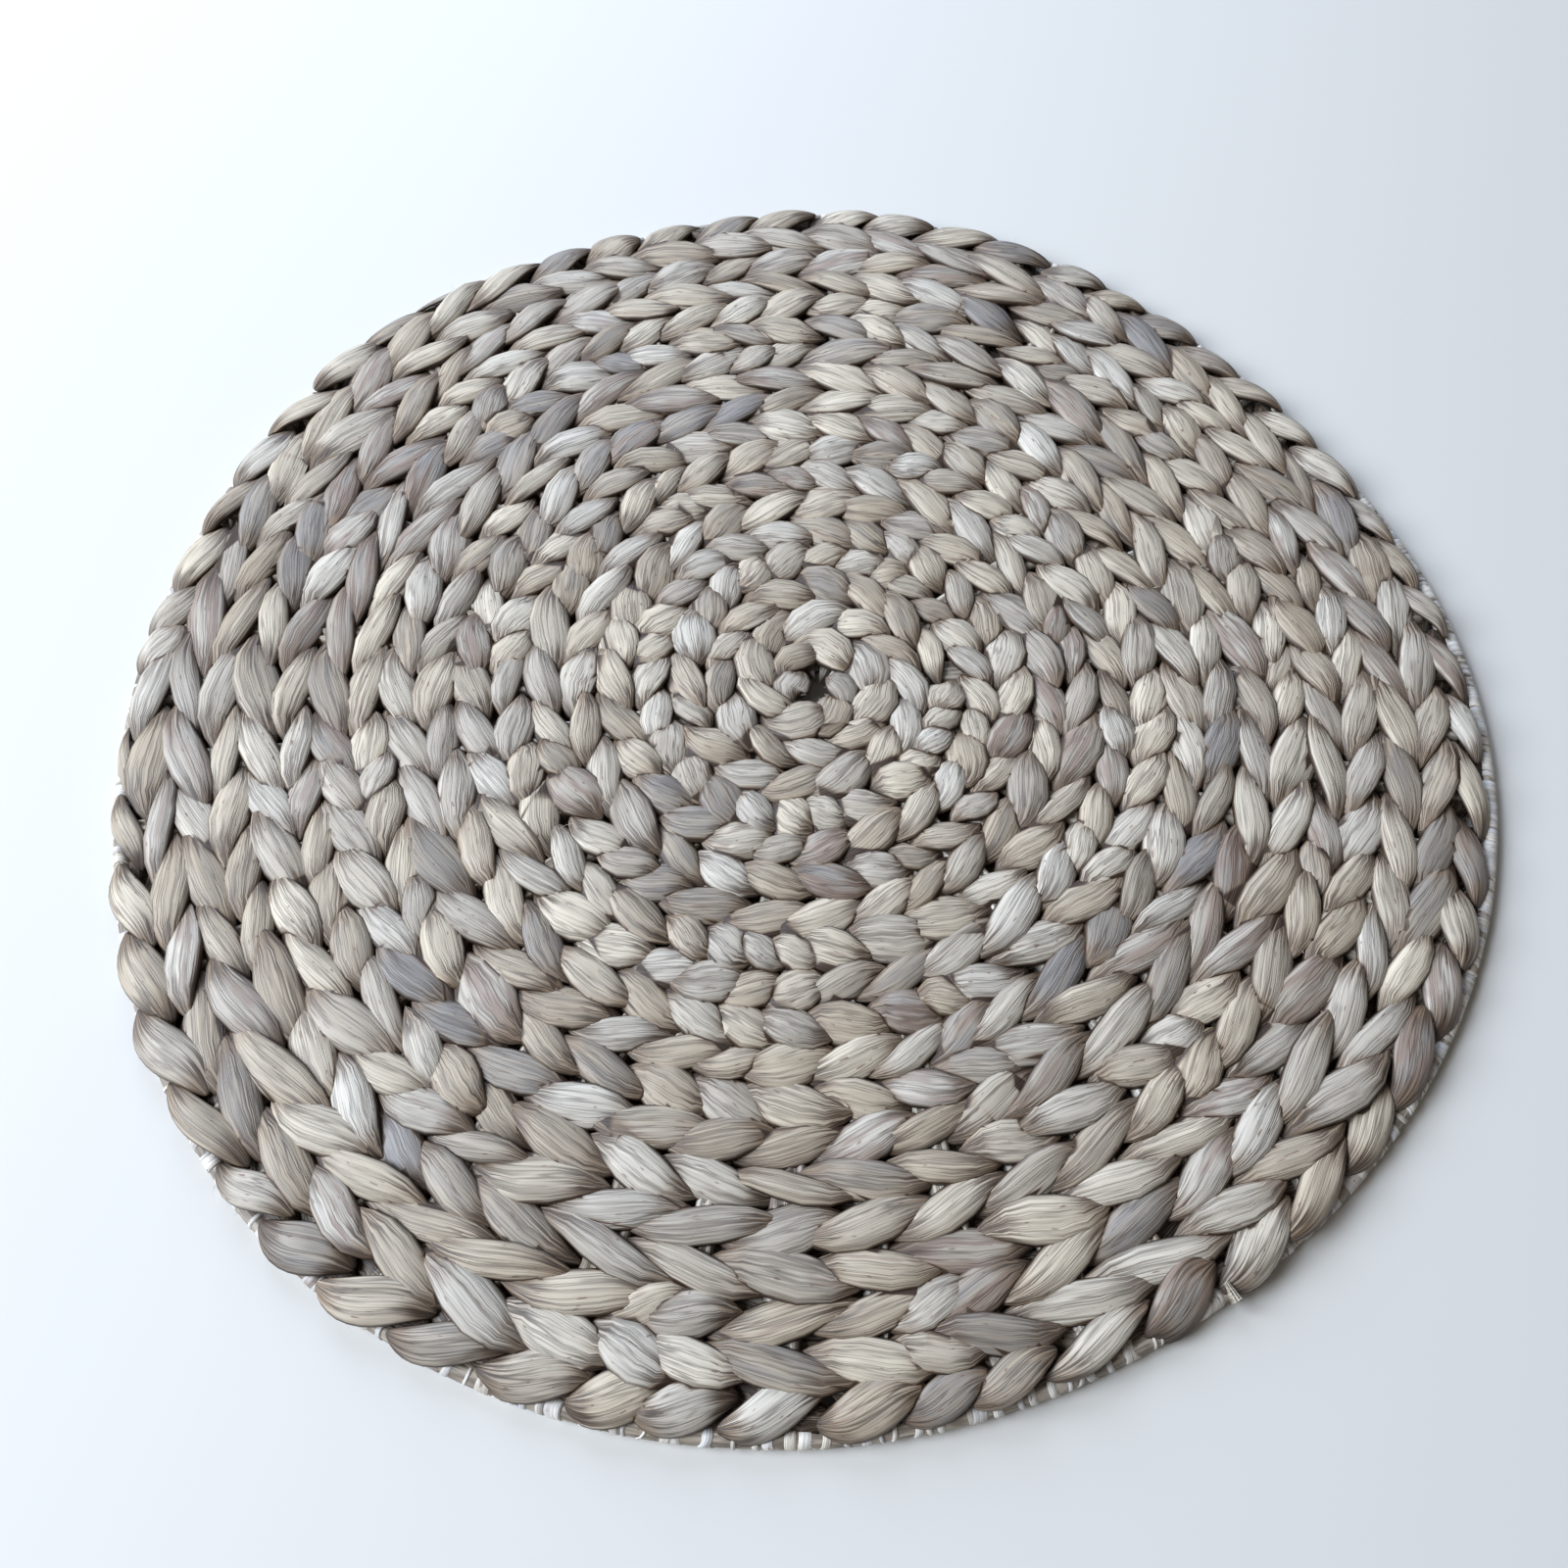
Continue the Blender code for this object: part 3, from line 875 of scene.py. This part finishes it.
# %% The fibre group
def fibre_group():
    """Named inputs Along, Across, Seed, Lines; named outputs Fibre, Crease, Patch, Speck, Height.

    Noise is read in a space stretched along the stem, so that it turns into lines. Crease is high
    where a slow noise crosses its middle value, which draws thin wandering lines.
    """
    tree = bpy.data.node_groups.new("stem fibres", "ShaderNodeTree")
    for name, start in (("Along", 0.0), ("Across", 0.0), ("Seed", 0.0), ("Lines", 26.0)):
        socket = tree.interface.new_socket(name, in_out="INPUT", socket_type="NodeSocketFloat")
        socket.default_value = start
    for name in ("Fibre", "Crease", "Patch", "Speck", "Height"):
        tree.interface.new_socket(name, in_out="OUTPUT", socket_type="NodeSocketFloat")
    given = tree.nodes.new("NodeGroupInput").outputs
    far_apart = calc(tree, "MULTIPLY", given["Seed"], 97.0)
    lines_across = calc(tree, "MULTIPLY", given["Across"], given["Lines"])

    def lines(along_scale, across_share, offset, detail):
        """Noise in lines: Along times a scale, and a share of the lines across."""
        x = calc(tree, "MULTIPLY", given["Along"], along_scale)
        y = calc(tree, "MULTIPLY", lines_across, across_share)
        z = calc(tree, "ADD", far_apart, offset)
        space = add_node(tree, "ShaderNodeCombineXYZ", {0: x, 1: y, 2: z})
        inputs = {"Vector": space.outputs[0], "Scale": 1.0, "Detail": detail, "Roughness": 0.6}
        return add_node(tree, "ShaderNodeTexNoise", inputs).outputs[0]

    def fold(field, width):
        """1 where a field passes its middle value, falling to 0 at the width from it."""
        from_middle = calc(tree, "ABSOLUTE", calc(tree, "SUBTRACT", field, 0.5))
        return spread_range(tree, from_middle, 0.0, width, 1.0, 0.0)

    from_middle = calc(tree, "ABSOLUTE", calc(tree, "SUBTRACT", given["Along"], 0.5))
    thin = spread_range(tree, from_middle, 0.10, 0.40, 0.058, 0.12)
    fine = lines(2.4, 0.62, 0.0, 2.0)
    deep, shallow = lines(0.9, 0.17, 23.0, 1.0), lines(1.2, 0.44, 41.0, 1.0)
    patch = lines(1.8, 0.07, 11.0, 2.0)
    fading = spread_range(tree, lines(3.2, 0.12, 67.0, 0.0), 0.36, 0.58)
    ending = spread_range(tree, lines(2.2, 0.10, 89.0, 0.0), 0.34, 0.56, 0.45, 1.0)
    wide, faint = calc(tree, "MULTIPLY", thin, 1.3), calc(tree, "MULTIPLY", fading, 0.9)
    crease = calc(tree, "MULTIPLY", fold(shallow, wide), faint)
    crease = calc(tree, "MAXIMUM", calc(tree, "MULTIPLY", fold(deep, thin), ending), crease)
    speck = spread_range(tree, lines(12.0, 0.36, 131.0, 0.0), 0.77, 0.82)
    height = calc(tree, "SUBTRACT", calc(tree, "MULTIPLY", fine, 0.7), calc(tree, "MULTIPLY", crease, 0.6))
    given_out = tree.nodes.new("NodeGroupOutput").inputs
    made = {"Fibre": fine, "Crease": crease, "Patch": patch, "Speck": speck, "Height": height}
    for name, socket in made.items():
        tree.links.new(socket, given_out[name])
    return tree


fibres = fibre_group()

# %% [markdown]
# ## The skins
# One function makes all the skins. A stitch goes brown at its tips and gets painted shade along its edges,
# in its seams and in the low places where it sinks under its neighbours; the spokes, the core and the strips
# leave most of that out.

# %% Materials
CREAM = (0.635, 0.572, 0.486)
BEIGE = (0.52, 0.458, 0.382)
TAN = (0.42, 0.356, 0.286)
GREY_BROWN = (0.27, 0.243, 0.224)
# Brown of the bent tips, also used for the painted shade near seams
BENT_AND_SHADE_TAN = (0.235, 0.15, 0.088)
WARM_TINT, COOL_TINT = (1.04, 0.985, 0.89), (0.978, 0.98, 0.985)
# Dark brown of the crease lines, also used for painted shade at edges, seams and low places
CREASE_AND_SHADE_BROWN = (0.048, 0.027, 0.016)
STAIN_BROWN = (0.22, 0.135, 0.10)


def stem_material(name, stops, lines, wear, edge, creased, bump):
    """Stem skin: tone picks the colour, fibres and creases vary it, ends go brown, and edges, seams and low
    places get painted shade.
    """
    material = bpy.data.materials.new(name)
    material.use_nodes = True
    tree = material.node_tree
    shader = tree.nodes["Principled BSDF"]
    uv = add_node(tree, "ShaderNodeUVMap", uv_map="fibre").outputs[0]
    along, across = add_node(tree, "ShaderNodeSeparateXYZ", {0: uv}).outputs[:2]
    tone, seed, painted_sunk_shade, clear = (
        add_node(tree, "ShaderNodeAttribute", attribute_name=measure).outputs["Fac"]
        for measure in ("tone", "seed", "painted_sunk_shade", "clear")
    )
    group = tree.nodes.new("ShaderNodeGroup")
    group.node_tree = fibres
    for key, value in (("Along", along), ("Across", across), ("Seed", seed)):
        tree.links.new(value, group.inputs[key])
    group.inputs["Lines"].default_value = lines
    fibre, crease, patch, speck, height = group.outputs[:5]
    to_tip = calc(tree, "ABSOLUTE", calc(tree, "SUBTRACT", along, 0.5))
    shade = calc(tree, "ADD", tone, calc(tree, "MULTIPLY", calc(tree, "SUBTRACT", patch, 0.5), 0.9))
    colour = ramp(tree, shade, stops)
    light = spread_range(tree, fibre, 0.32, 0.68, 0.83, 1.09)
    grey = add_node(tree, "ShaderNodeCombineXYZ", {0: light, 1: light, 2: light}).outputs[0]
    colour = blend_colours(tree, 1.0, colour, grey, "MULTIPLY")
    coolness = spread_range(tree, seed, 0.2, 0.9)
    tint = blend_colours(tree, coolness, (*WARM_TINT, 1.0), (*COOL_TINT, 1.0))
    colour = blend_colours(tree, 1.0, colour, tint, "MULTIPLY")
    stain = calc(tree, "MULTIPLY", spread_range(tree, patch, 0.62, 0.74), 0.55)
    few, blotches = spread_range(tree, seed, 0.90, 0.93), spread_range(tree, patch, 0.40, 0.62)
    spoiled = calc(tree, "MULTIPLY", few, blotches)
    stain = calc(tree, "MAXIMUM", stain, calc(tree, "MULTIPLY", spoiled, 0.7))
    stain = calc(tree, "MAXIMUM", stain, calc(tree, "MULTIPLY", speck, 0.8))
    colour = blend_colours(tree, stain, colour, (*STAIN_BROWN, 1.0))
    ragged = spread_range(tree, fibre, 0.32, 0.68, 1.5, 0.35)
    bent = calc(tree, "MULTIPLY", spread_range(tree, to_tip, 0.13, 0.42), ragged)
    colour = blend_colours(tree, calc(tree, "MULTIPLY", bent, wear), colour, (*BENT_AND_SHADE_TAN, 1.0))
    to_side = calc(tree, "ABSOLUTE", calc(tree, "SUBTRACT", across, 0.5))
    # Painted shade along the stitch's side edges, where it meets its neighbours
    painted_edge_shade = spread_range(tree, to_side, 0.415, 0.48)
    colour = blend_colours(tree, calc(tree, "MULTIPLY", painted_edge_shade, edge), colour, (*CREASE_AND_SHADE_BROWN, 1.0))
    line = calc(tree, "MULTIPLY", crease, spread_range(tree, to_tip, 0.05, 0.34, 0.55 * creased, creased))
    colour = blend_colours(tree, line, colour, (*CREASE_AND_SHADE_BROWN, 1.0))
    # Painted shade in the low places between stitches, made ragged by the fibres
    deep = calc(tree, "MULTIPLY", calc(tree, "POWER", painted_sunk_shade, 1.5), ragged)
    deep = calc(tree, "MULTIPLY", deep, 0.95, clamp=True)
    colour = blend_colours(tree, deep, colour, (*CREASE_AND_SHADE_BROWN, 1.0))
    # Painted seam shade from the clearance: a soft brown falloff near a seam and a dark line in it
    painted_seam_falloff = spread_range(tree, clear, 0.2, 1.5, 0.55 * edge, 0.0)
    colour = blend_colours(tree, calc(tree, "MULTIPLY", painted_seam_falloff, ragged), colour, (*BENT_AND_SHADE_TAN, 1.0))
    painted_seam_line = spread_range(tree, clear, 0.2, 0.75, edge, 0.0)
    colour = blend_colours(tree, painted_seam_line, colour, (*CREASE_AND_SHADE_BROWN, 1.0))
    tree.links.new(colour, shader.inputs["Base Color"])
    tree.links.new(spread_range(tree, fibre, 0.2, 0.8, 0.44, 0.62), shader.inputs["Roughness"])
    bumped = add_node(tree, "ShaderNodeBump", {"Height": height, "Strength": 0.5, "Distance": bump})
    tree.links.new(bumped.outputs[0], shader.inputs["Normal"])
    return material


STEM_STOPS = ((0.04, GREY_BROWN), (0.34, TAN), (0.62, BEIGE), (0.92, CREAM))
stem_skin = stem_material("stem_skin", STEM_STOPS, 42.0, 0.85, 1.0, 1.0, 0.0003)
SPOKE_STOPS = ((0.1, (0.36, 0.30, 0.24)), (0.5, (0.48, 0.42, 0.35)), (0.9, (0.64, 0.60, 0.54)))
STRIP_STOPS = ((0.1, (0.60, 0.54, 0.48)), (0.5, (0.74, 0.70, 0.66)), (0.9, (0.86, 0.84, 0.83)))
spoke_skin = stem_material("spoke_skin", SPOKE_STOPS, 34.0, 0.0, 0.0, 0.7, 0.0003)
strip_skin = stem_material("strip_skin", STRIP_STOPS, 12.0, 0.0, 0.0, 0.25, 0.0002)
core_skin = stem_material("core_skin", SPOKE_STOPS, 24.0, 0.0, 0.0, 0.7, 0.0003)

for piece, skin in (
    (upper_stitches, stem_skin),
    (rim_stitches, stem_skin),
    (lower_stitches, stem_skin),
    (spokes, spoke_skin),
    (hoop_core, core_skin),
    (hoop_binding, strip_skin),
    (loose_fibres, strip_skin),
):
    piece.data.materials.append(skin)

# %% [markdown]
# ## Telling the frame what stands for what
# ## Riding on root and hiding the frame's solids
# has no joint, so everything rides on the one body, root.

# %% Ride and replace
for piece, slot in (
    (upper_stitches, "twined_stems"),
    (rim_stitches, "twined_stems"),
    (lower_stitches, "twined_stems"),
    (spokes, "twined_stems"),
    (loose_fibres, "twined_stems"),
    (hoop_core, "hoop_binding"),
    (hoop_binding, "hoop_binding"),
):
    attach(piece, "root")
for piece in (upper_stitches, rim_stitches, lower_stitches, spokes, loose_fibres):
    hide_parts("woven_body")
for piece in (hoop_core, hoop_binding):
    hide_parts("rim_hoop")

# %% [markdown]
# ## Camera
# The camera looks down steeply from the front, turned a little, with a wide lens close to the mat.
# Its elevation, roll, distance and aim were fitted by a program, so that the mat's outline falls
# where it does in the picture. Distances are in mat radii from the middle of the spiral.

# %% Camera
FOCAL_PIXELS, PICTURE_PIXELS, SENSOR_MM = 1350.0, 1600.0, 36.0
RADIUS_FOR_VIEW = 0.185
ELEVATION = 1.10269826
ROLL = -0.0324772
EYE_DISTANCE = 1.90350
AIM_FROM_SPIRAL = (-0.0526066, -0.1407459)

camera_data = bpy.data.cameras.new("camera")
camera_data.sensor_width = SENSOR_MM
camera_data.lens = SENSOR_MM * FOCAL_PIXELS / PICTURE_PIXELS
camera = bpy.data.objects.new("camera", camera_data)
bpy.context.scene.collection.objects.link(camera)
back = np.array([0.0, -math.cos(ELEVATION), math.sin(ELEVATION)])
right = np.array([1.0, 0.0, 0.0])
up = np.cross(back, right)
turned_right = math.cos(ROLL) * right + math.sin(ROLL) * up
turned_up = -math.sin(ROLL) * right + math.cos(ROLL) * up
aim = np.append(middle + RADIUS_FOR_VIEW * np.array(AIM_FROM_SPIRAL), 0.0)
eye = aim + back * EYE_DISTANCE * RADIUS_FOR_VIEW
matrix = np.eye(4)
matrix[:3, 0], matrix[:3, 1], matrix[:3, 2], matrix[:3, 3] = turned_right, turned_up, back, eye
camera.matrix_world = Matrix(matrix.tolist())
bpy.context.scene.camera = camera

# %% [markdown]
# ## Floor and light
# A plain pale floor, a large soft light from the left, a weaker one from behind, and a dim warm
# light from all around.

# %% Floor and light
FLOOR_HALF = 3.0
floor_mesh = bpy.data.meshes.new("floor")
corners = [(-FLOOR_HALF, -FLOOR_HALF, 0), (FLOOR_HALF, -FLOOR_HALF, 0)]
corners += [(FLOOR_HALF, FLOOR_HALF, 0), (-FLOOR_HALF, FLOOR_HALF, 0)]
floor_mesh.from_pydata(corners, [], [(0, 1, 2, 3)])
floor = bpy.data.objects.new("floor", floor_mesh)
bpy.context.scene.collection.objects.link(floor)
floor_paint = bpy.data.materials.new("floor_paint")
floor_paint.use_nodes = True
floor_shader = floor_paint.node_tree.nodes["Principled BSDF"]
floor_shader.inputs["Base Color"].default_value = (0.66, 0.63, 0.585, 1.0)
floor_shader.inputs["Roughness"].default_value = 0.7
floor_mesh.materials.append(floor_paint)


def add_area_light(name, place_at, size, energy, colour):
    """A square area light that points at the middle of the mat."""
    data = bpy.data.lights.new(name, "AREA")
    data.size, data.energy, data.color = size, energy, colour
    lamp = bpy.data.objects.new(name, data)
    bpy.context.scene.collection.objects.link(lamp)
    toward = -np.array(place_at) / np.linalg.norm(place_at)
    side = np.cross(toward, (0.0, 0.0, 1.0))
    side = side / np.linalg.norm(side)
    pose = np.eye(4)
    pose[:3, 0], pose[:3, 1], pose[:3, 2] = side, np.cross(side, toward), -toward
    pose[:3, 3] = place_at
    lamp.matrix_world = Matrix(pose.tolist())
    return lamp


add_area_light("window_light", (-1.7, -0.1, 1.35), 1.4, 89.5, (0.77, 0.868, 1.0))
add_area_light("far_light", (-0.3, 1.2, 0.8), 1.0, 15.0, (0.67, 0.82, 1.06))
world = bpy.data.worlds.new("room")
bpy.context.scene.world = world
world.use_nodes = True
world.node_tree.nodes["Background"].inputs["Color"].default_value = (1.0, 0.93, 0.84, 1.0)
world.node_tree.nodes["Background"].inputs["Strength"].default_value = 0.128
bpy.context.scene.view_settings.view_transform = "Standard"
